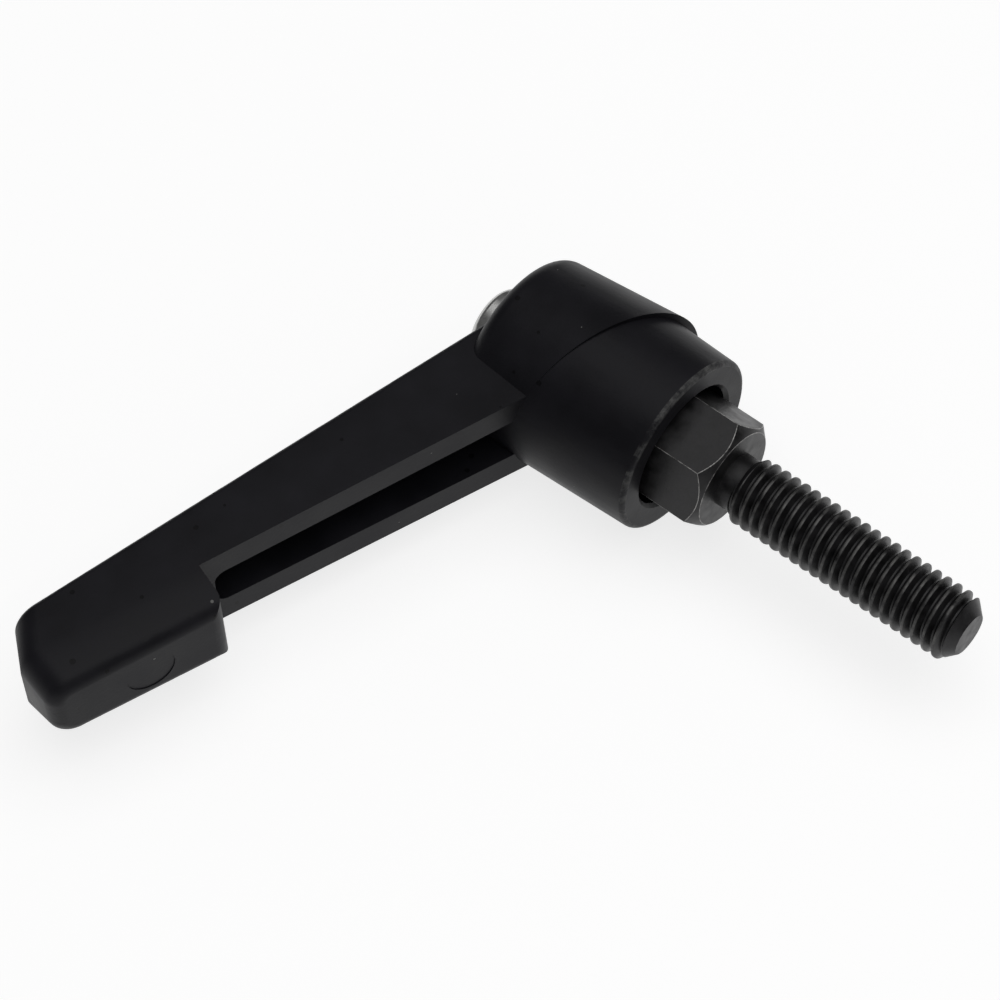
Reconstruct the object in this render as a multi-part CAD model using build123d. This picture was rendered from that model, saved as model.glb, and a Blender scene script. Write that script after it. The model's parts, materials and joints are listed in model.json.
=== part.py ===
from build123d import *
import os
from math import atan, cos, degrees, pi, radians, sin, tan

# Adjustable clamping lever with a threaded stud.
# Frame: origin on the hub axis at the seat, the lower end of the hex that bears on the clamped work.
# +Z runs up the hub axis, and the arm leaves the hub towards +X. All sizes are in millimetres.

# ---------------------------------------------------------------- stud and hex
stud_d = 9.525            # major diameter of the thread, 3/8 in
stud_length = 37.3        # from the seat to the tip
tip_flat_d = 5.8          # flat left inside the tip chamfer
tip_chamfer_deg = 45.0
hex_flats = 14.6          # across flats
hex_turn_deg = -12.4      # how the hex happens to sit against the arm
hex_exposed = 8.0         # hex height seen between the seat and the hub
hex_chamfer_deg = 45.0
hex_seat_ratio = 0.95     # diameter of the seat ring over the width across flats

# ---------------------------------------------------------------- serrated coupling
tooth_count = 24
tooth_tip_r = 8.55
tooth_depth = 0.85
tooth_base = 5.6          # underside of the toothed head above the hub's lower face
tooth_height = 5.0
tooth_tip_share = 0.26    # width of a tooth's tip over the pitch
tooth_root_share = 0.66
coupling_gap = 0.12       # running clearance of the coupling, at the tips and on the flanks
lever_tooth_drop = 0.3    # the lever's teeth start this much above the head's underside
pilot_r = 6.0             # round pilot above the teeth that carries the lever's web
rest_gap = 0.10           # between the pilot's face and the web at rest

# ---------------------------------------------------------------- hub
hub_height = 28.4
hub_bottom_r = 12.7
hub_lower_draft_deg = 2.2
hub_top_r = 12.4
hub_upper_draft_deg = 5.0
hub_top_round = 2.6
hub_rim_chamfer = 0.4
hub_bore_r = 8.9
bore_chamfer = 0.5
web_underside = 13.0      # above the hub's lower face
web_thickness = 3.0
pocket_r = 5.6            # spring pocket, open at the top
pocket_chamfer = 0.4

# ---------------------------------------------------------------- parting plane of the casting
parting_height = 13.6     # above the hub's lower face, on the hub axis
parting_slope = 0.34      # rise for each millimetre towards the grip

# ---------------------------------------------------------------- arm
arm_half_width = 7.9      # at the hub axis, on the parting plane
arm_taper = 0.0155        # lost from the half width for each millimetre of reach
arm_draft_deg = 1.0
arm_reach = 80.3          # end of the grip on the parting plane
arm_end_lean_deg = 20.0   # the grip's end leans back this far from square to the parting plane
arm_depth_hub = 14.6      # top face above the parting plane, measured upright, at the hub axis
arm_depth_mid = 10.4      # halfway to the end
arm_depth_end = 6.0       # at the grip's end
arm_end_round = 3.6       # radius of the grip's two corners in plan
arm_top_round = 1.0
channel_wall = 4.0
channel_roof = 3.0        # metal left over the channel, measured upright
channel_end = 54.6
channel_corner = 1.6

# ---------------------------------------------------------------- grip block under the arm's end
block_start = 56.2
block_depth = 6.3         # square to the parting plane
block_draft_deg = 13.0
block_lean = 0.5          # the inner face leans this far towards the hub over its depth
block_end_setback = 1.0
block_edge_round = 2.2
mark_r = 3.4              # ejector mark on the block's face
mark_depth = 0.12
mark_reach = 68.6

# ---------------------------------------------------------------- screw and spring
screw_d = 5.0
screw_thread_in = 8.0     # depth of the screw in the stud's head
screw_tip_chamfer = 0.5
screw_fit = 0.03
tapped_extra = 2.0        # hole runs on past the screw's tip
head_r = 5.2
head_height = 3.6
head_stands = 4.2         # top of the screw head above the hub's top
head_chamfer = 0.7
recess_width = 1.1        # cross recess
recess_span = 4.6
recess_depth = 1.9
shank_gap = 0.35          # web's hole is this much larger in radius than the screw
spring_wire_d = 1.0
spring_mean_r = 4.0
spring_turns = 5.0
wire_sides = 4            # the fine wire's section is drawn as a polygon
spring_gap = 0.05         # at each end of the spring

# ---------------------------------------------------------------- worked out
hub_z = hex_exposed
top_z = hub_z + hub_height
stud_r = stud_d / 2
hex_corner_r = hex_flats / 2 / cos(radians(30))
parting_z = hub_z + parting_height
parting_deg = degrees(atan(parting_slope))
slope = radians(parting_deg)
parting_plane = Plane(origin=(0, 0, parting_z), x_dir=(cos(slope), 0, sin(slope)), z_dir=(-sin(slope), 0, cos(slope)))
along = 1 / cos(slope)    # length on the parting plane for each millimetre of reach
web_z = hub_z + web_underside
pocket_z = web_z + web_thickness
pilot_z = web_z - rest_gap
head_top_z = top_z + head_stands
head_under_z = head_top_z - head_height


def half_width(reach):
    """Half width of the arm on the parting plane."""
    return arm_half_width - arm_taper * reach


def turned(points):
    """Solid of revolution about Z from (radius, height) points."""
    return revolve(Plane.XZ * make_face(Polyline(*points, close=True)), Axis.Z)


def half_space(above):
    """Large box on one side of the parting plane."""
    size = 4 * arm_reach
    side = Align.MIN if above else Align.MAX
    return parting_plane * Box(size, size, size, align=(Align.CENTER, Align.CENTER, side))


def serration(tip_r, depth, gap, height):
    """Toothed prism about Z; gap widens every tooth on its tip and its flanks."""
    pitch = 2 * pi / tooth_count
    points = []
    for tooth in range(tooth_count):
        for share, radius, side in ((tooth_root_share, tip_r - depth, -1), (tooth_tip_share, tip_r, -1),
                                    (tooth_tip_share, tip_r, 1), (tooth_root_share, tip_r - depth, 1)):
            r = radius + gap
            angle = pitch * (tooth + side * share / 2) + side * gap / r
            points.append((r * cos(angle), r * sin(angle)))
    return extrude(make_face(Polyline(*points, close=True)), height)


def build_stud():
    tip_cut = (stud_r - tip_flat_d / 2) / tan(radians(tip_chamfer_deg))
    shank = turned([(0, -stud_length), (tip_flat_d / 2, -stud_length), (stud_r, -stud_length + tip_cut),
                    (stud_r, hub_z), (0, hub_z)])
    head_z = hub_z + tooth_base
    hexagon = extrude(RegularPolygon(hex_corner_r, 6, rotation=hex_turn_deg), head_z)
    seat_r = hex_seat_ratio * hex_flats / 2
    chamfer_rise = (hex_corner_r - seat_r) * tan(radians(hex_chamfer_deg))
    hexagon &= turned([(0, 0), (seat_r, 0), (hex_corner_r, chamfer_rise), (hex_corner_r, head_z), (0, head_z)])
    teeth = Pos(0, 0, head_z) * serration(tooth_tip_r, tooth_depth, 0.0, tooth_height)
    pilot = Pos(0, 0, head_z) * Cylinder(pilot_r, pilot_z - head_z, align=(Align.CENTER, Align.CENTER, Align.MIN))
    depth = screw_thread_in + tapped_extra
    tapped = Pos(0, 0, pilot_z) * Cylinder(screw_d / 2 + screw_fit, depth,
                                           align=(Align.CENTER, Align.CENTER, Align.MAX))
    return shank + hexagon + teeth + pilot - tapped


def build_screw():
    tip_z = pilot_z - screw_thread_in
    head = turned([(0, head_under_z), (head_r, head_under_z), (head_r, head_top_z), (0, head_top_z)])
    head = chamfer(head.edges().group_by(Axis.Z)[-1], head_chamfer)
    shank = turned([(0, tip_z), (screw_d / 2 - screw_tip_chamfer, tip_z), (screw_d / 2, tip_z + screw_tip_chamfer),
                    (screw_d / 2, head_under_z), (0, head_under_z)])
    recess = Pos(0, 0, head_top_z) * (
        Box(recess_span, recess_width, recess_depth, align=(Align.CENTER, Align.CENTER, Align.MAX))
        + Box(recess_width, recess_span, recess_depth, align=(Align.CENTER, Align.CENTER, Align.MAX)))
    return head + shank - recess


def build_spring():
    low, high = pocket_z + spring_gap, head_under_z - spring_gap
    wire_r = spring_wire_d / 2
    pitch = (high - low) / spring_turns
    path = Helix(pitch, high - low, spring_mean_r)
    start = Plane(origin=path @ 0, z_dir=path % 0)
    coil = Pos(0, 0, low) * sweep(start * RegularPolygon(wire_r, wire_sides), path)
    ground = Pos(0, 0, low) * Cylinder(spring_mean_r + spring_wire_d, high - low,
                                       align=(Align.CENTER, Align.CENTER, Align.MIN))
    return coil & ground


def grip_outline(start, end, inset, corner):
    """Outline between two lengths along the parting plane, rounded at the grip's end."""
    w0 = half_width(start / along) - inset
    w1 = half_width(end / along) - inset
    outline = make_face(Polyline((start, -w0), (end, -w1), (end, w1), (start, w0), close=True))
    return fillet(outline.vertices().sort_by(Axis.X)[-2:], corner)


def arm_side(drop, floor_z):
    """Side view of the arm down to floor_z, with its arched top lowered by drop."""
    hub_top, mid_top, end_top = [(x, parting_z + parting_slope * x + depth - drop) for x, depth in (
        (0, arm_depth_hub), (arm_reach / 2, arm_depth_mid), (arm_reach, arm_depth_end))]
    past_x = 2 * arm_reach
    rest = Polyline(end_top, (past_x, end_top[1]), (past_x, floor_z), (0, floor_z), hub_top)
    face = make_face(Curve() + [ThreePointArc(hub_top, mid_top, end_top), rest])
    return extrude(Plane.XZ * face, 2 * arm_half_width, both=True)


def build_arm():
    """Arm above the parting plane: tapered in plan, arched on top, its end leaning back."""
    end = arm_reach * along
    root = parting_plane * grip_outline(0, end, 0.0, arm_end_round)
    top = parting_plane.offset(hub_height) * grip_outline(
        0, end - hub_height * tan(radians(arm_end_lean_deg)), hub_height * tan(radians(arm_draft_deg)), arm_end_round)
    arm = loft([root, top], ruled=True) & arm_side(0.0, parting_z)
    clear_x = hub_top_r + hub_height * tan(radians(hub_upper_draft_deg))
    arch = arm.faces().filter_by(lambda face: face.normal_at().Z > cos(2 * slope)).sort_by(SortBy.AREA)[-1]
    return fillet([e for e in arch.edges() if e.center().X > clear_x], arm_top_round)


def build_block():
    """Grip block below the parting plane: drafted on all sides, with rounded edges on its face."""
    start, end = block_start * along, arm_reach * along
    inset = block_depth * tan(radians(block_draft_deg))
    face_plane = parting_plane.offset(-block_depth)
    root = parting_plane * grip_outline(start, end, 0.0, arm_end_round)
    face = face_plane * grip_outline(start - block_lean, end - block_end_setback, inset, arm_end_round)
    block = loft([root, face], ruled=True)
    block = fillet(block.faces().sort_by(Axis((0, 0, 0), parting_plane.z_dir))[0].edges(), block_edge_round)
    mark_at = (mark_reach - block_depth * sin(slope)) / cos(slope)
    return block - face_plane * Pos(mark_at, 0, 0) * Cylinder(mark_r, 2 * mark_depth)


def build_channel():
    """Space between the arm's two walls, open below, from the hub to the grip block."""
    w0, w1 = half_width(0) - channel_wall, half_width(channel_end) - channel_wall
    plan = make_face(Polyline((0, -w0), (channel_end, -w1), (channel_end, w1), (0, w0), close=True))
    plan = fillet(plan.vertices().sort_by(Axis.X)[-2:], channel_corner)
    space = Pos(0, 0, hub_z) * extrude(plan, arm_reach) & arm_side(channel_roof, hub_z)
    return space - lower_hub()


def lower_hub():
    top_r = hub_bottom_r + hub_height * tan(radians(hub_lower_draft_deg))
    hub = turned([(0, hub_z), (hub_bottom_r, hub_z), (top_r, top_z), (0, top_z)])
    return chamfer(hub.edges().group_by(Axis.Z)[0], hub_rim_chamfer)


def upper_hub():
    low_r = hub_top_r + hub_height * tan(radians(hub_upper_draft_deg))
    hub = turned([(0, hub_z), (low_r, hub_z), (hub_top_r, top_z), (0, top_z)])
    return fillet(hub.edges().group_by(Axis.Z)[-1], hub_top_round)


def hub_bores():
    """Plain bore, serrated socket, screw hole and spring pocket, on the hub axis."""
    up = (Align.CENTER, Align.CENTER, Align.MIN)
    socket_z = hub_z + tooth_base + lever_tooth_drop
    mouth_r = hub_bore_r + bore_chamfer
    bore = turned([(0, hub_z - 1), (mouth_r + 1, hub_z - 1), (hub_bore_r, hub_z + bore_chamfer),
                   (hub_bore_r, socket_z), (0, socket_z)])
    socket = Pos(0, 0, socket_z) * serration(tooth_tip_r, tooth_depth, coupling_gap, web_z - socket_z)
    hole = Pos(0, 0, web_z) * Cylinder(screw_d / 2 + shank_gap, web_thickness, align=up)
    pocket = turned([(0, pocket_z), (pocket_r, pocket_z), (pocket_r, top_z - pocket_chamfer),
                     (pocket_r + pocket_chamfer, top_z), (pocket_r + pocket_chamfer, top_z + hub_height),
                     (0, top_z + hub_height)])
    return bore + socket + hole + pocket


def build_lever():
    above, below = half_space(above=True), half_space(above=False)
    body = (upper_hub() & above) + build_arm()
    body += (lower_hub() & below) + build_block()
    return body - build_channel() - hub_bores()


if __name__ == "__main__":
    os.makedirs("parts", exist_ok=True)
    for name, shape in (("stud_insert", build_stud()), ("retaining_screw", build_screw()),
                        ("compression_spring", build_spring()), ("lever", build_lever())):
        export_step(shape, f"parts/{name}.step")
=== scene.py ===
import json
from math import cos, hypot, pi, radians, sin

import bmesh
import bpy
from bpy.props import FloatProperty, FloatVectorProperty, IntProperty, PointerProperty
from mathutils import Matrix, Vector


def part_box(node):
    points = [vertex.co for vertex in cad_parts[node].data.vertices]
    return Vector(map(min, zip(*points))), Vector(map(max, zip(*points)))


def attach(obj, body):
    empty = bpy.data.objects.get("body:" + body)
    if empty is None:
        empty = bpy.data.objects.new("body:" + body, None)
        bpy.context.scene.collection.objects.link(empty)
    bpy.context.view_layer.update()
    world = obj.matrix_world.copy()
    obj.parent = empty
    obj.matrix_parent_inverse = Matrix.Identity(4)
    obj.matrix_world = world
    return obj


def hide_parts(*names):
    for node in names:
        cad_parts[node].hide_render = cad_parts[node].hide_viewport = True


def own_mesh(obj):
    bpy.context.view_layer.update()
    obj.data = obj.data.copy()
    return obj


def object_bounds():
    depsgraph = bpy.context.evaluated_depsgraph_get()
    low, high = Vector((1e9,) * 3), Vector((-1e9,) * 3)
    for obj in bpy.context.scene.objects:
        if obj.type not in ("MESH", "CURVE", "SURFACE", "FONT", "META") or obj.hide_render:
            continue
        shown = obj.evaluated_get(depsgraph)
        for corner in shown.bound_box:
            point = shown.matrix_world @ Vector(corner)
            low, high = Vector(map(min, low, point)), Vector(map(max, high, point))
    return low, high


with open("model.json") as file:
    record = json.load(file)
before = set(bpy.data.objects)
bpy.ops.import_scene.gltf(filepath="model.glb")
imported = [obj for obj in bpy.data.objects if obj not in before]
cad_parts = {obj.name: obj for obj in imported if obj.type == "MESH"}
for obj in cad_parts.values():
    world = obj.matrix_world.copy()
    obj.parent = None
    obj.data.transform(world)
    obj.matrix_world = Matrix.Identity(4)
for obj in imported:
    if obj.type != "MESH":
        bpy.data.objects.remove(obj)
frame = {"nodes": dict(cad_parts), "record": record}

bl_info = {
    "name": "Clamping Lever Finish",
    "version": (1, 0, 0),
    "blender": (4, 5, 0),
    "location": "View3D > Sidebar > Lever",
    "description": "Dresses an adjustable clamping lever: coated casting, threaded stud, spring and screw",
    "category": "Object",
}

CAD_LOW, CAD_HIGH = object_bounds()
MM = 0.001
WELD = 1e-7             # points closer than this are one
STUD = next(m for m in frame["record"]["mounts"] if m["name"] == "stud")
STUD_R = STUD["dims"]["r_mm"] * MM
STUD_LENGTH = -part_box("stud_insert")[0].z
HUB_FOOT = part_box("lever")[0].z
SCREW_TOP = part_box("retaining_screw")[1]
SPRING_LOW, SPRING_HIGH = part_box("compression_spring")


# ------------------------------------------------------------------ settings

class LeverCastingSettings(bpy.types.PropertyGroup):
    edge_radius: FloatProperty(name="Edge radius", description="Rounding of the casting's edges",
                               default=0.28 * MM, unit="LENGTH", precision=5)
    bore_ratio: FloatProperty(name="Bore ratio", description="Edges inside this many stud radii stay sharp",
                              default=2.15)
    rim_band: FloatProperty(name="Rim band", description="Height of the hub's foot whose edges are rounded",
                            default=3 * MM, unit="LENGTH", precision=5)
    coat_color: FloatVectorProperty(name="Coat colour", description="Colour of the black coating",
                                    default=(0.0112, 0.0109, 0.0138), subtype="COLOR", size=3)
    coat_roughness: FloatProperty(name="Coat roughness", description="Roughness of the black coating",
                                  default=0.43, subtype="FACTOR")


class StudSettings(bpy.types.PropertyGroup):
    pitch: FloatProperty(name="Thread pitch", description="Rise of the thread for each turn",
                         default=1.5875 * MM, unit="LENGTH", precision=6)
    thread_depth: FloatProperty(name="Thread depth", description="Crest to root",
                                default=0.90 * MM, unit="LENGTH", precision=5)
    crest_share: FloatProperty(name="Crest share", description="Width of the crest over the pitch",
                               default=0.16, subtype="FACTOR")
    root_share: FloatProperty(name="Root share", description="Width of the root over the pitch",
                              default=0.14, subtype="FACTOR")
    segments: IntProperty(name="Segments", description="Facets in each turn", default=64)
    tip_flat: FloatProperty(name="Tip flat", description="Radius of the flat inside the tip chamfer",
                            default=2.9 * MM, unit="LENGTH", precision=5)
    groove_width: FloatProperty(name="Groove width", description="Run-out groove under the hex",
                                default=2.1 * MM, unit="LENGTH", precision=5)
    edge_radius: FloatProperty(name="Edge radius", description="Rounding of the hex's edges",
                               default=0.06 * MM, unit="LENGTH", precision=5)
    oxide_color: FloatVectorProperty(name="Oxide colour", description="Colour of the blackened steel",
                                     default=(0.0175, 0.0170, 0.0180), subtype="COLOR", size=3)


class SpringSettings(bpy.types.PropertyGroup):
    wire_radius: FloatProperty(name="Wire radius", description="Radius of the spring's wire",
                               default=0.5 * MM, unit="LENGTH", precision=5)
    travel: FloatProperty(name="Travel", description="How far lifting the lever shortens the spring",
                          default=5.5 * MM, unit="LENGTH", precision=5)
    turns: FloatProperty(name="Turns", description="Turns of the spring", default=5.0)


class StageSettings(bpy.types.PropertyGroup):
    lens: FloatProperty(name="Lens", description="Focal length", default=124.43, unit="CAMERA")
    distance: FloatProperty(name="Distance", description="Camera to target", default=0.446, unit="LENGTH")
    lift_angle: FloatProperty(name="Height angle", description="Camera above the table",
                              default=radians(55.99), subtype="ANGLE")
    side_angle: FloatProperty(name="Side angle", description="Camera round the table's normal",
                              default=radians(42.27), subtype="ANGLE")
    roll: FloatProperty(name="Roll", description="Roll of the camera",
                        default=radians(-2.55), subtype="ANGLE")


# ------------------------------------------------------------------ shared steps

def deselect_all():
    if bpy.context.object and bpy.context.object.mode != "OBJECT":
        bpy.ops.object.mode_set(mode="OBJECT")
    bpy.ops.object.select_all(action="DESELECT")


def activate(piece):
    deselect_all()
    piece.select_set(True)
    bpy.context.view_layer.objects.active = piece


def apply_modifiers(piece):
    activate(piece)
    for modifier in list(piece.modifiers):
        bpy.ops.object.modifier_apply(modifier=modifier.name)


def apply_place(piece):
    activate(piece)
    bpy.ops.object.transform_apply(location=True, rotation=True, scale=True)


def copy_node(node, name):
    """A free copy of a CAD node, with its doubled points merged."""
    source = frame["nodes"][node]
    piece = source.copy()
    piece.data = source.data.copy()
    for key in list(piece.keys()):
        del piece[key]
    piece.parent = None
    piece.name = name
    bpy.context.scene.collection.objects.link(piece)
    activate(piece)
    if piece.data.has_custom_normals:
        bpy.ops.mesh.customdata_custom_splitnormals_clear()
    bpy.ops.object.mode_set(mode="EDIT")
    bpy.ops.mesh.select_all(action="SELECT")
    bpy.ops.mesh.remove_doubles(threshold=1e-6)
    bpy.ops.mesh.dissolve_limited(angle_limit=radians(0.4))
    bpy.ops.object.mode_set(mode="OBJECT")
    return piece


def bevel_where(piece, chosen, radius, segments=2, material=-1, sharp=radians(24)):
    """Rounds the outward edges of a piece that are sharp and for which chosen(midpoint) holds."""
    activate(piece)
    bpy.ops.object.mode_set(mode="EDIT")
    bpy.ops.mesh.select_mode(type="EDGE")
    bpy.ops.mesh.select_all(action="DESELECT")
    mesh = bmesh.from_edit_mesh(piece.data)
    for edge in mesh.edges:
        middle = (edge.verts[0].co + edge.verts[1].co) / 2
        if edge.is_convex and edge.calc_face_angle(0) > sharp and chosen(middle):
            edge.select_set(True)
    bmesh.update_edit_mesh(piece.data)
    bpy.ops.mesh.bevel(offset=radius, segments=segments, profile=0.5, affect="EDGES",
                       clamp_overlap=False, material=material)
    bpy.ops.object.mode_set(mode="OBJECT")


def select_open_end(piece, middle, end):
    """Selects the open edges that lie above (end 1) or below (end -1) the height middle."""
    bpy.ops.mesh.select_mode(type="EDGE")
    bpy.ops.mesh.select_all(action="DESELECT")
    mesh = bmesh.from_edit_mesh(piece.data)
    for edge in mesh.edges:
        if edge.is_boundary and (edge.verts[0].co.z - middle) * end > 0:
            edge.select_set(True)
    bmesh.update_edit_mesh(piece.data)


def smooth(piece, angle=radians(35)):
    activate(piece)
    bpy.ops.object.shade_smooth_by_angle(angle=angle, keep_sharp_edges=False)
    even = piece.modifiers.new("even", "WEIGHTED_NORMAL")
    even.keep_sharp = True
    apply_modifiers(piece)


def finish_piece(piece, material, body, slot, *replaced):
    if material:
        piece.data.materials.clear()
        piece.data.materials.append(material)
    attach(piece, body)
    if replaced:
        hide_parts(*replaced)


# ------------------------------------------------------------------ node groups

def new_group(name, inputs, outputs):
    group = bpy.data.node_groups.new(name, "ShaderNodeTree")
    for label, kind, default in inputs:
        socket = group.interface.new_socket(name=label, in_out="INPUT", socket_type=kind)
        if default is not None:
            socket.default_value = default
    for label, kind in outputs:
        group.interface.new_socket(name=label, in_out="OUTPUT", socket_type=kind)
    return group, group.nodes.new("NodeGroupInput"), group.nodes.new("NodeGroupOutput")


def add(tree, kind, **values):
    node = tree.nodes.new(kind)
    for key, value in values.items():
        if key in node.inputs:
            node.inputs[key].default_value = value
        else:
            setattr(node, key, value)
    return node


def math_node(tree, operation, a, b=None, clamp=False):
    node = tree.nodes.new("ShaderNodeMath")
    node.operation, node.use_clamp = operation, clamp
    for socket, value in zip(node.inputs, (a, b)):
        if isinstance(value, bpy.types.NodeSocket):
            tree.links.new(value, socket)
        elif value is not None:
            socket.default_value = value
    return node.outputs[0]


def grain_group():
    """Uneven skin of a cast or coated face: a height and a slow tone."""
    group, source, sink = new_group(
        "Casting Grain",
        [("Vector", "NodeSocketVector", None), ("Fine Scale", "NodeSocketFloat", 2600.0),
         ("Coarse Scale", "NodeSocketFloat", 160.0), ("Pit Scale", "NodeSocketFloat", 420.0),
         ("Pit Depth", "NodeSocketFloat", 1.0)],
        [("Height", "NodeSocketFloat"), ("Tone", "NodeSocketFloat"), ("Pits", "NodeSocketFloat")])
    link = group.links.new
    fine = add(group, "ShaderNodeTexNoise", Detail=3.0, Roughness=0.6)
    link(source.outputs["Vector"], fine.inputs["Vector"])
    link(source.outputs["Fine Scale"], fine.inputs["Scale"])
    coarse = add(group, "ShaderNodeTexNoise", Detail=2.0, Roughness=0.5)
    link(source.outputs["Vector"], coarse.inputs["Vector"])
    link(source.outputs["Coarse Scale"], coarse.inputs["Scale"])
    cells = add(group, "ShaderNodeTexVoronoi", feature="F1")
    link(source.outputs["Vector"], cells.inputs["Vector"])
    link(source.outputs["Pit Scale"], cells.inputs["Scale"])
    near = math_node(group, "LESS_THAN", cells.outputs["Distance"], 0.16)
    rare = add(group, "ShaderNodeSeparateColor")
    link(cells.outputs["Color"], rare.inputs[0])
    chosen = math_node(group, "GREATER_THAN", rare.outputs[0], 0.86)
    pits = math_node(group, "MULTIPLY", near, chosen)
    sunk = math_node(group, "MULTIPLY", pits, source.outputs["Pit Depth"])
    height = math_node(group, "SUBTRACT", fine.outputs["Fac"], sunk)
    link(height, sink.inputs["Height"])
    link(coarse.outputs["Fac"], sink.inputs["Tone"])
    link(pits, sink.inputs["Pits"])
    return group


def dust_group():
    """Sparse pale specks, from cells of which only a few hold one."""
    group, source, sink = new_group(
        "Dust Specks",
        [("Vector", "NodeSocketVector", None), ("Scale", "NodeSocketFloat", 330.0),
         ("Share", "NodeSocketFloat", 0.04), ("Size", "NodeSocketFloat", 0.05)],
        [("Mask", "NodeSocketFloat")])
    link = group.links.new
    cells = add(group, "ShaderNodeTexVoronoi", feature="F1")
    link(source.outputs["Vector"], cells.inputs["Vector"])
    link(source.outputs["Scale"], cells.inputs["Scale"])
    split = add(group, "ShaderNodeSeparateColor")
    link(cells.outputs["Color"], split.inputs[0])
    rare = math_node(group, "LESS_THAN", split.outputs[1], source.outputs["Share"])
    size = math_node(group, "MULTIPLY", source.outputs["Size"], split.outputs[2])
    near = math_node(group, "LESS_THAN", cells.outputs["Distance"], size)
    link(math_node(group, "MULTIPLY", near, rare), sink.inputs["Mask"])
    return group


def edge_wear_and_highlight_group():
    """Lighter colour on edges, broken up by noise: partly bare metal showing through, partly a painted
    highlight.
    """
    group, source, sink = new_group(
        "Edge Wear And Highlight",
        [("Vector", "NodeSocketVector", None), ("Edge", "NodeSocketFloat", 0.0),
         ("Scale", "NodeSocketFloat", 900.0), ("Amount", "NodeSocketFloat", 0.5)],
        [("Mask", "NodeSocketFloat")])
    link = group.links.new
    patch = add(group, "ShaderNodeTexNoise", Detail=4.0, Roughness=0.65)
    link(source.outputs["Vector"], patch.inputs["Vector"])
    link(source.outputs["Scale"], patch.inputs["Scale"])
    shifted = math_node(group, "ADD", patch.outputs["Fac"], source.outputs["Amount"])
    sharpened = math_node(group, "MULTIPLY", math_node(group, "SUBTRACT", shifted, 0.75), 3.5, clamp=True)
    link(math_node(group, "MULTIPLY", sharpened, source.outputs["Edge"], clamp=True), sink.inputs["Mask"])
    return group


def crest_group():
    """Rises from 0 to 1 over a width just inside a radius about Z."""
    group, source, sink = new_group(
        "Crest Wear And Highlight",
        [("Vector", "NodeSocketVector", None), ("Radius", "NodeSocketFloat", 0.005),
         ("Width", "NodeSocketFloat", 0.0001), ("Scale", "NodeSocketFloat", 700.0)],
        [("Mask", "NodeSocketFloat")])
    link = group.links.new
    flat = add(group, "ShaderNodeVectorMath", operation="MULTIPLY")
    link(source.outputs["Vector"], flat.inputs[0])
    flat.inputs[1].default_value = (1, 1, 0)
    length = add(group, "ShaderNodeVectorMath", operation="LENGTH")
    link(flat.outputs[0], length.inputs[0])
    inside = math_node(group, "SUBTRACT", source.outputs["Radius"], length.outputs["Value"])
    depth = math_node(group, "DIVIDE", inside, source.outputs["Width"])
    crest = math_node(group, "SUBTRACT", 1.0, depth, clamp=True)
    patch = add(group, "ShaderNodeTexNoise", Detail=3.0, Roughness=0.6)
    link(source.outputs["Vector"], patch.inputs["Vector"])
    link(source.outputs["Scale"], patch.inputs["Scale"])
    lifted = math_node(group, "SUBTRACT", patch.outputs["Fac"], 0.36)
    broken = math_node(group, "MULTIPLY", lifted, 4.0, clamp=True)
    link(math_node(group, "MULTIPLY", crest, broken), sink.inputs["Mask"])
    return group


# ------------------------------------------------------------------ materials

def new_material(name):
    material = bpy.data.materials.new(name)
    material.use_nodes = True
    tree = material.node_tree
    shader = tree.nodes["Principled BSDF"]
    coordinates = tree.nodes.new("ShaderNodeTexCoord")
    return material, tree, shader, coordinates.outputs["Object"]


def place_group(tree, group, vector, **values):
    node = tree.nodes.new("ShaderNodeGroup")
    node.node_tree = bpy.data.node_groups[group]
    tree.links.new(vector, node.inputs["Vector"])
    for key, value in values.items():
        node.inputs[key.replace("_", " ")].default_value = value
    return node


def blend_colors(tree, factor, a, b):
    node = tree.nodes.new("ShaderNodeMix")
    node.data_type = "RGBA"
    tree.links.new(factor, node.inputs["Factor"])
    for socket, value in ((node.inputs[6], a), (node.inputs[7], b)):
        if isinstance(value, bpy.types.NodeSocket):
            tree.links.new(value, socket)
        else:
            socket.default_value = (*value, 1.0)
    return node.outputs[2]


def bump(tree, shader, height, distance, strength=1.0):
    node = add(tree, "ShaderNodeBump", Strength=strength, Distance=distance)
    tree.links.new(height, node.inputs["Height"])
    tree.links.new(node.outputs["Normal"], shader.inputs["Normal"])


def ranged(tree, value, low, high):
    node = add(tree, "ShaderNodeMapRange")
    tree.links.new(value, node.inputs["Value"])
    node.inputs["From Min"].default_value, node.inputs["From Max"].default_value = 0.3, 0.7
    node.inputs["To Min"].default_value, node.inputs["To Max"].default_value = low, high
    return node.outputs["Result"]


def coat_material(settings, name, edge):
    material, tree, shader, vector = new_material(name)
    grain = place_group(tree, "Casting Grain", vector, Fine_Scale=1900.0, Pit_Depth=2.5)
    dust = place_group(tree, "Dust Specks", vector, Share=0.06, Size=0.12, Scale=520.0)
    wear_and_highlight = place_group(tree, "Edge Wear And Highlight", vector, Edge=edge, Amount=0.30, Scale=520.0)
    base = Vector(settings.coat_color)
    tone = blend_colors(tree, ranged(tree, grain.outputs["Tone"], 0.0, 1.0), base * 0.80, base * 1.25)
    pitted = blend_colors(tree, grain.outputs["Pits"], tone, base * 0.35)
    dusty = blend_colors(tree, dust.outputs["Mask"], pitted, (0.16, 0.16, 0.155))
    # Edges painted a lighter grey: partly coat worn through, partly a painted highlight on the rounded edges.
    worn_and_highlit = blend_colors(tree, wear_and_highlight.outputs["Mask"], dusty, (0.12, 0.12, 0.118))
    tree.links.new(worn_and_highlit, shader.inputs["Base Color"])
    roughness = settings.coat_roughness
    rough = ranged(tree, grain.outputs["Tone"], roughness - 0.04, roughness + 0.05)
    tree.links.new(rough, shader.inputs["Roughness"])
    shader.inputs["Specular IOR Level"].default_value = 0.15
    bump(tree, shader, grain.outputs["Height"], 0.016 * MM)
    return material


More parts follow.
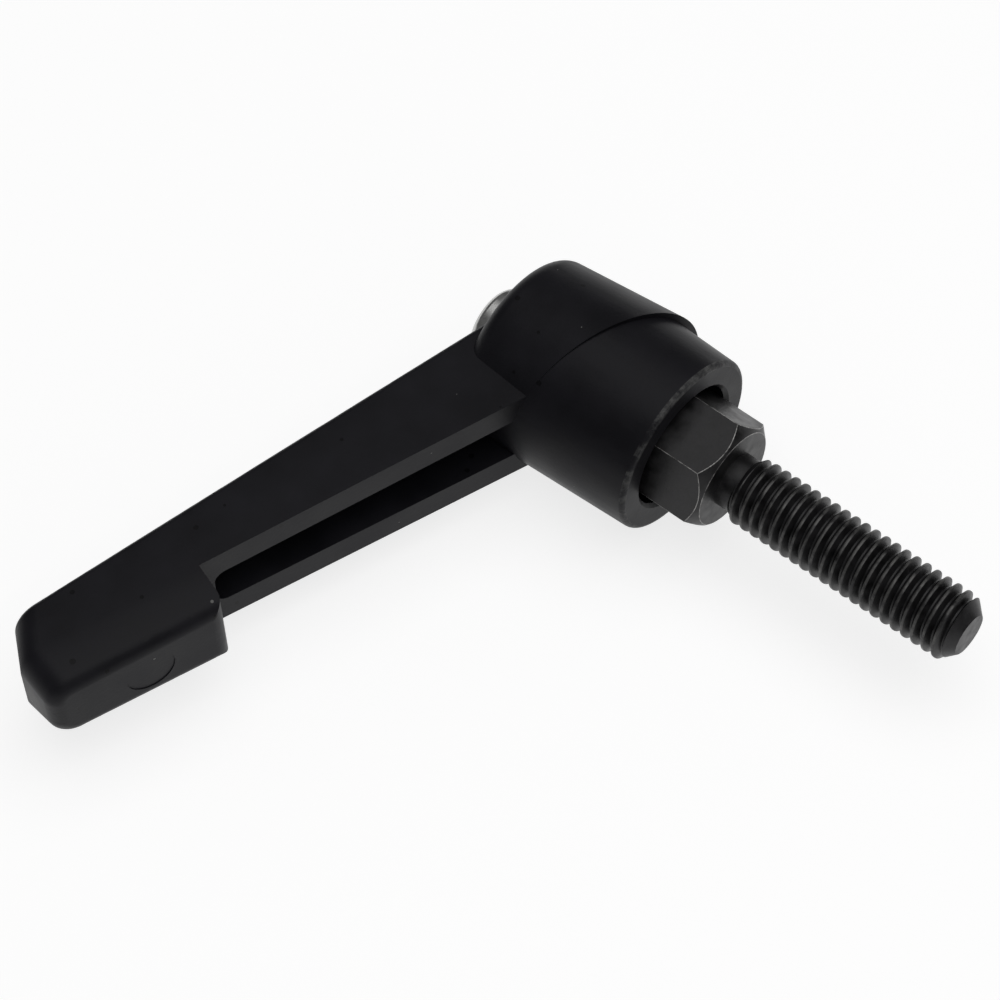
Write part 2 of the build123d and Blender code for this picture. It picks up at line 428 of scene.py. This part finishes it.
def oxide_material(settings, name, edge=0.0, crest=0.0):
    """Blackened steel, lighter on its edges and, where crest is 1, on the thread's crests: partly wear to
    bare metal, partly a painted highlight.
    """
    material, tree, shader, vector = new_material(name)
    grain = place_group(tree, "Casting Grain", vector, Fine_Scale=4200.0, Coarse_Scale=620.0)
    wear_and_highlight = place_group(tree, "Edge Wear And Highlight", vector, Edge=edge, Amount=0.42 if edge > 0.5 else 0.2)
    crests = place_group(tree, "Crest Wear And Highlight", vector, Radius=STUD_R, Width=0.09 * MM)
    base = Vector(settings.oxide_color)
    tone = blend_colors(tree, ranged(tree, grain.outputs["Tone"], 0.0, 1.0), base * 0.55, base * 1.6)
    # Thread crests painted lighter: partly crest wear, partly a painted highlight.
    spread = math_node(tree, "MULTIPLY", crests.outputs["Mask"], crest)
    crested = blend_colors(tree, spread, tone, (0.12, 0.118, 0.115))
    # Hex edges painted a light grey: partly bare metal worn through, partly a painted highlight.
    worn_and_highlit = blend_colors(tree, wear_and_highlight.outputs["Mask"], crested, (0.46, 0.45, 0.44))
    tree.links.new(worn_and_highlit, shader.inputs["Base Color"])
    rough = ranged(tree, grain.outputs["Tone"], 0.34, 0.48)
    tree.links.new(rough, shader.inputs["Roughness"])
    shader.inputs["Metallic"].default_value = 0.4
    bump(tree, shader, grain.outputs["Height"], 0.010 * MM)
    return material


def plated_material(name, color, roughness):
    material, tree, shader, vector = new_material(name)
    grain = place_group(tree, "Casting Grain", vector, Fine_Scale=5200.0, Coarse_Scale=420.0)
    base = Vector(color)
    tone = blend_colors(tree, ranged(tree, grain.outputs["Tone"], 0.0, 1.0), base * 0.8, base * 1.1)
    tree.links.new(tone, shader.inputs["Base Color"])
    tree.links.new(ranged(tree, grain.outputs["Tone"], roughness - 0.06, roughness + 0.08),
                   shader.inputs["Roughness"])
    shader.inputs["Metallic"].default_value = 1.0
    bump(tree, shader, grain.outputs["Height"], 0.006 * MM)
    return material


# ------------------------------------------------------------------ pieces

class LEVER_OT_groups(bpy.types.Operator):
    """Build the shared shader groups"""
    bl_idname = "lever.groups"
    bl_label = "Shader Groups"

    def execute(self, context):
        grain_group()
        dust_group()
        edge_wear_and_highlight_group()
        crest_group()
        return {"FINISHED"}


class LEVER_OT_casting(bpy.types.Operator):
    """Round the casting's edges and give it its black coat"""
    bl_idname = "lever.casting"
    bl_label = "Lever Casting"

    def execute(self, context):
        settings = context.scene.lever_casting
        piece = copy_node("lever", "lever_casting")
        bore_r = STUD_R * settings.bore_ratio
        piece.data.materials.clear()
        piece.data.materials.append(coat_material(settings, "satin_black_coat", 0.0))
        # The bevel faces get a lighter coat: partly worn coat, partly a painted edge highlight.
        piece.data.materials.append(coat_material(settings, "worn_and_highlit_coat_edges", 1.0))

        def on_the_hub_rim(p):
            return hypot(p.x, p.y) > bore_r and p.z < HUB_FOOT + settings.rim_band

        bevel_where(piece, on_the_hub_rim, settings.edge_radius, segments=3, material=1)
        smooth(piece)
        finish_piece(piece, None, "lever", "coated_casting", "lever")
        return {"FINISHED"}


def drawn_profile(name, points):
    """An open outline in the XZ plane, extruded point by point from a plane drawn in to one point."""
    bpy.ops.mesh.primitive_plane_add(size=MM)
    piece = bpy.context.object
    piece.name = name
    bpy.ops.object.mode_set(mode="EDIT")
    bpy.ops.mesh.select_mode(type="VERT")
    bpy.ops.mesh.select_all(action="SELECT")
    bpy.ops.mesh.merge(type="CENTER")
    bpy.ops.transform.translate(value=(points[0][0], 0, points[0][1]))
    for (r0, z0), (r1, z1) in zip(points, points[1:]):
        bpy.ops.mesh.extrude_region_move(TRANSFORM_OT_translate={"value": (r1 - r0, 0, z1 - z0)})
    bpy.ops.object.mode_set(mode="OBJECT")
    return piece


def thread_solid(settings):
    """Helical thread from below the tip to above the groove, closed at both ends."""
    pitch, depth = settings.pitch, settings.thread_depth
    turns = int(STUD_LENGTH / pitch) + 5
    low = -STUD_LENGTH - 2 * pitch
    crest, root = settings.crest_share * pitch, settings.root_share * pitch
    flank = (pitch - crest - root) / 2
    rim = 0.12 * flank
    half_r, near_r, top = STUD_R - depth * 0.5, STUD_R - depth * 0.05, flank + crest
    profile = [(STUD_R - depth, 0.0), (half_r, flank * 0.5), (near_r, flank - rim), (STUD_R, flank + rim),
               (STUD_R, top - rim), (near_r, top + rim), (half_r, flank * 1.5 + crest),
               (STUD_R - depth, 2 * flank + crest), (STUD_R - depth, pitch)]
    piece = drawn_profile("stud_thread", [(r, low + z) for r, z in profile])
    turn = piece.modifiers.new("turn", "SCREW")
    turn.angle, turn.screw_offset, turn.iterations = 2 * pi, pitch, turns
    turn.steps = turn.render_steps = settings.segments
    turn.use_merge_vertices, turn.merge_threshold = True, WELD
    apply_modifiers(piece)
    bpy.ops.object.mode_set(mode="EDIT")
    bpy.ops.mesh.select_all(action="SELECT")
    bpy.ops.mesh.remove_doubles(threshold=WELD)
    for end in (-1, 1):
        select_open_end(piece, low + turns * pitch / 2, end)
        bpy.ops.mesh.extrude_edges_move()
        bpy.ops.mesh.merge(type="CENTER")
    bpy.ops.mesh.select_all(action="SELECT")
    bpy.ops.mesh.normals_make_consistent(inside=False)
    bpy.ops.object.mode_set(mode="OBJECT")
    return piece


def turned_solid(name, outline, segments):
    """Closed solid of revolution about Z from (radius, height) points, both ends on the axis."""
    piece = drawn_profile(name, outline)
    turn = piece.modifiers.new("turn", "SCREW")
    turn.angle, turn.screw_offset = 2 * pi, 0.0
    turn.steps = turn.render_steps = segments
    turn.use_merge_vertices, turn.merge_threshold = True, WELD
    apply_modifiers(piece)
    bpy.ops.object.mode_set(mode="EDIT")
    bpy.ops.mesh.select_all(action="SELECT")
    bpy.ops.mesh.remove_doubles(threshold=WELD)
    bpy.ops.mesh.normals_make_consistent(inside=False)
    bpy.ops.object.mode_set(mode="OBJECT")
    return piece


class LEVER_OT_stud(bpy.types.Operator):
    """Cut the stud's thread and finish the hex and the serrated head"""
    bl_idname = "lever.stud"
    bl_label = "Threaded Stud"

    def execute(self, context):
        settings = context.scene.lever_stud
        head = copy_node("stud_insert", "stud_head")
        groove = -settings.groove_width
        activate(head)
        bpy.ops.object.mode_set(mode="EDIT")
        bpy.ops.mesh.select_all(action="SELECT")
        bpy.ops.mesh.bisect(plane_co=(0, 0, 0.005 * MM), plane_no=(0, 0, 1), clear_inner=True, use_fill=True,
                            threshold=1e-8)
        bpy.ops.mesh.select_all(action="SELECT")
        bpy.ops.mesh.normals_make_consistent(inside=False)
        bpy.ops.object.mode_set(mode="OBJECT")
        head.data.materials.clear()
        head.data.materials.append(oxide_material(settings, "black_oxide"))
        # The hex's bevel faces get lighter steel: partly worn bare metal, partly a painted edge highlight.
        head.data.materials.append(oxide_material(settings, "black_oxide_edges", edge=1.0))

        def on_the_hex(p):
            return hypot(p.x, p.y) > STUD_R * 1.3 and p.z < HUB_FOOT + 4 * MM

        bevel_where(head, on_the_hex, settings.edge_radius, segments=2, material=1)
        smooth(head)
        finish_piece(head, None, "stud", "black_oxide_steel", "stud_insert")

        thread = thread_solid(settings)
        tip = -STUD_LENGTH
        chamfer = STUD_R - settings.tip_flat
        root = STUD_R - settings.thread_depth - 0.02 * MM
        outline = [(0.0, tip), (settings.tip_flat, tip), (STUD_R - 0.01 * MM, tip + chamfer),
                   (STUD_R - 0.01 * MM, groove - (STUD_R - root)), (root, groove), (root, 0.3 * MM),
                   (0.0, 0.3 * MM)]
        envelope = turned_solid("stud_envelope", outline, settings.segments * 2)
        cut = thread.modifiers.new("ends", "BOOLEAN")
        cut.operation, cut.object, cut.solver = "INTERSECT", envelope, "EXACT"
        apply_modifiers(thread)
        bpy.data.objects.remove(envelope)
        smooth(thread, radians(40))
        # crest=1.0 paints the thread's crests lighter: partly crest wear, partly a painted highlight.
        steel = oxide_material(settings, "black_oxide_thread", crest=1.0)
        finish_piece(thread, steel, "stud", "black_oxide_steel")
        return {"FINISHED"}


class LEVER_OT_spring(bpy.types.Operator):
    """Wind the compression spring"""
    bl_idname = "lever.spring"
    bl_label = "Compression Spring"

    def execute(self, context):
        settings = context.scene.lever_spring
        wire = settings.wire_radius
        mean = (SPRING_HIGH.x - SPRING_LOW.x) / 2 - wire
        low, high = SPRING_LOW.z + wire, SPRING_HIGH.z - wire
        bpy.ops.mesh.primitive_circle_add(vertices=16, radius=wire, location=(mean, 0, low),
                                          rotation=(radians(90), 0, 0))
        piece = context.object
        piece.name = "spring_coil"
        apply_place(piece)
        turn = piece.modifiers.new("turn", "SCREW")
        turn.angle, turn.screw_offset, turn.iterations = 2 * pi * settings.turns, high - low, 1
        turn.steps = turn.render_steps = int(48 * settings.turns)
        apply_modifiers(piece)
        bpy.ops.object.mode_set(mode="EDIT")
        for end in (-1, 1):
            select_open_end(piece, (low + high) / 2, end)
            bpy.ops.mesh.edge_face_add()
        bpy.ops.mesh.select_all(action="SELECT")
        bpy.ops.mesh.normals_make_consistent(inside=False)
        bpy.ops.object.mode_set(mode="OBJECT")
        smooth(piece)
        steel = plated_material("spring_steel", (0.34, 0.34, 0.35), 0.32)
        finish_piece(piece, steel, "spring", "spring_steel", "compression_spring")
        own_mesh(piece)
        return {"FINISHED"}


class LEVER_OT_screw(bpy.types.Operator):
    """Plate the retaining screw"""
    bl_idname = "lever.screw"
    bl_label = "Retaining Screw"

    def execute(self, context):
        piece = copy_node("retaining_screw", "cross_screw")


        def on_the_rim(p):
            return hypot(p.x, p.y) > 0.8 * SCREW_TOP.x and p.z > SCREW_TOP.z - 1.5 * MM

        bevel_where(piece, on_the_rim, 0.25 * MM, segments=3)
        smooth(piece)
        finish_piece(piece, plated_material("plated_screw", (0.56, 0.56, 0.55), 0.30), "stud", "plated_screw",
                     "retaining_screw")
        return {"FINISHED"}


# ------------------------------------------------------------------ stage

def camera_rays(tree):
    """1 where the background is seen by the camera, in gloss or through glass."""
    path = tree.nodes.new("ShaderNodeLightPath")
    seen = math_node(tree, "MAXIMUM", path.outputs["Is Camera Ray"], path.outputs["Is Glossy Ray"])
    return math_node(tree, "MAXIMUM", seen, path.outputs["Is Transmission Ray"])


def area_light(name, place, target, size, power):
    bpy.ops.object.light_add(type="AREA", location=place)
    lamp = bpy.context.object
    lamp.name = name
    lamp.data.energy, lamp.data.shape = power, "DISK"
    lamp.data.size = size
    lamp.rotation_euler = (Vector(target) - Vector(place)).to_track_quat("-Z", "Y").to_euler()
    return lamp


class LEVER_OT_stage(bpy.types.Operator):
    """Set the floor, the lamps and the camera"""
    bl_idname = "lever.stage"
    bl_label = "Stage"

    def execute(self, context):
        settings = context.scene.lever_stage
        floor_y = CAD_LOW.y - 0.1 * MM
        bpy.ops.mesh.primitive_plane_add(size=6.0, location=(0, floor_y, 0), rotation=(radians(-90), 0, 0))
        floor = context.object
        floor.name = "floor"
        apply_place(floor)
        material, tree, shader, _ = new_material("pale_floor")
        shader.inputs["Base Color"].default_value = (0.40, 0.40, 0.40, 1)
        shader.inputs["Roughness"].default_value = 0.9
        shader.inputs["Specular IOR Level"].default_value = 0.0
        shader.inputs["Emission Color"].default_value = (1, 1, 1, 1)
        glow = math_node(tree, "MULTIPLY", camera_rays(tree), 0.78)
        tree.links.new(glow, shader.inputs["Emission Strength"])
        clear = tree.nodes.new("ShaderNodeBsdfTransparent")
        mix = tree.nodes.new("ShaderNodeMixShader")
        side = tree.nodes.new("ShaderNodeNewGeometry")
        tree.links.new(side.outputs["Backfacing"], mix.inputs[0])
        tree.links.new(shader.outputs[0], mix.inputs[1])
        tree.links.new(clear.outputs[0], mix.inputs[2])
        tree.links.new(mix.outputs[0], tree.nodes["Material Output"].inputs["Surface"])
        floor.data.materials.append(material)

        world = bpy.data.worlds.new("studio")
        world.use_nodes = True
        context.scene.world = world
        back = world.node_tree.nodes["Background"]
        back.inputs["Color"].default_value = (1, 1, 1, 1)
        path = world.node_tree.nodes.new("ShaderNodeLightPath")
        seen = math_node(world.node_tree, "MULTIPLY", path.outputs["Is Camera Ray"], 0.80)
        world.node_tree.links.new(math_node(world.node_tree, "ADD", seen, 0.12), back.inputs["Strength"])

        area_light("overhead_lamp", (-0.05, 0.95, -0.10), (0.02, 0, 0.02), 1.3, 5.0)
        area_light("side_lamp", (0.5, 0.45, -0.8), (0.02, 0, 0.02), 0.6, 0.4)

        target = Vector((20.55, -1.79, 21.93)) * MM
        away = Vector((cos(settings.side_angle) * cos(settings.lift_angle), sin(settings.lift_angle),
                       -sin(settings.side_angle) * cos(settings.lift_angle)))
        up = Vector((0, 1, 0))
        right = up.cross(away).normalized()
        true_up = away.cross(right)
        turn = Matrix((right, true_up, away)).transposed() @ Matrix.Rotation(settings.roll, 3, "Z")
        data = bpy.data.cameras.new("camera")
        camera = bpy.data.objects.new("camera", data)
        context.scene.collection.objects.link(camera)
        data.lens, data.sensor_width = settings.lens, 36.0
        data.clip_start, data.clip_end = 0.01, 20.0
        camera.matrix_world = Matrix.Translation(target + away * settings.distance) @ turn.to_4x4()
        context.scene.camera = camera
        context.scene.view_settings.view_transform = "Standard"
        return {"FINISHED"}


class LEVER_PT_panel(bpy.types.Panel):
    """Steps that dress the lever"""
    bl_label = "Clamping Lever"
    bl_idname = "LEVER_PT_panel"
    bl_space_type = "VIEW_3D"
    bl_region_type = "UI"
    bl_category = "Lever"

    def draw(self, context):
        for step in STEPS:
            self.layout.operator(step.bl_idname)


STEPS = (LEVER_OT_groups, LEVER_OT_casting, LEVER_OT_stud, LEVER_OT_spring, LEVER_OT_screw, LEVER_OT_stage)
SETTINGS = {"lever_casting": LeverCastingSettings, "lever_stud": StudSettings,
            "lever_spring": SpringSettings, "lever_stage": StageSettings}


def register():
    for item in (*SETTINGS.values(), *STEPS, LEVER_PT_panel):
        bpy.utils.register_class(item)
    for name, group in SETTINGS.items():
        setattr(bpy.types.Scene, name, PointerProperty(type=group))


def unregister():
    for name in SETTINGS:
        delattr(bpy.types.Scene, name)
    for item in reversed((*SETTINGS.values(), *STEPS, LEVER_PT_panel)):
        bpy.utils.unregister_class(item)


def main():
    register()
    for step in STEPS:
        group, action = step.bl_idname.split(".")
        getattr(getattr(bpy.ops, group), action)()


if __name__ == "__main__":
    main()
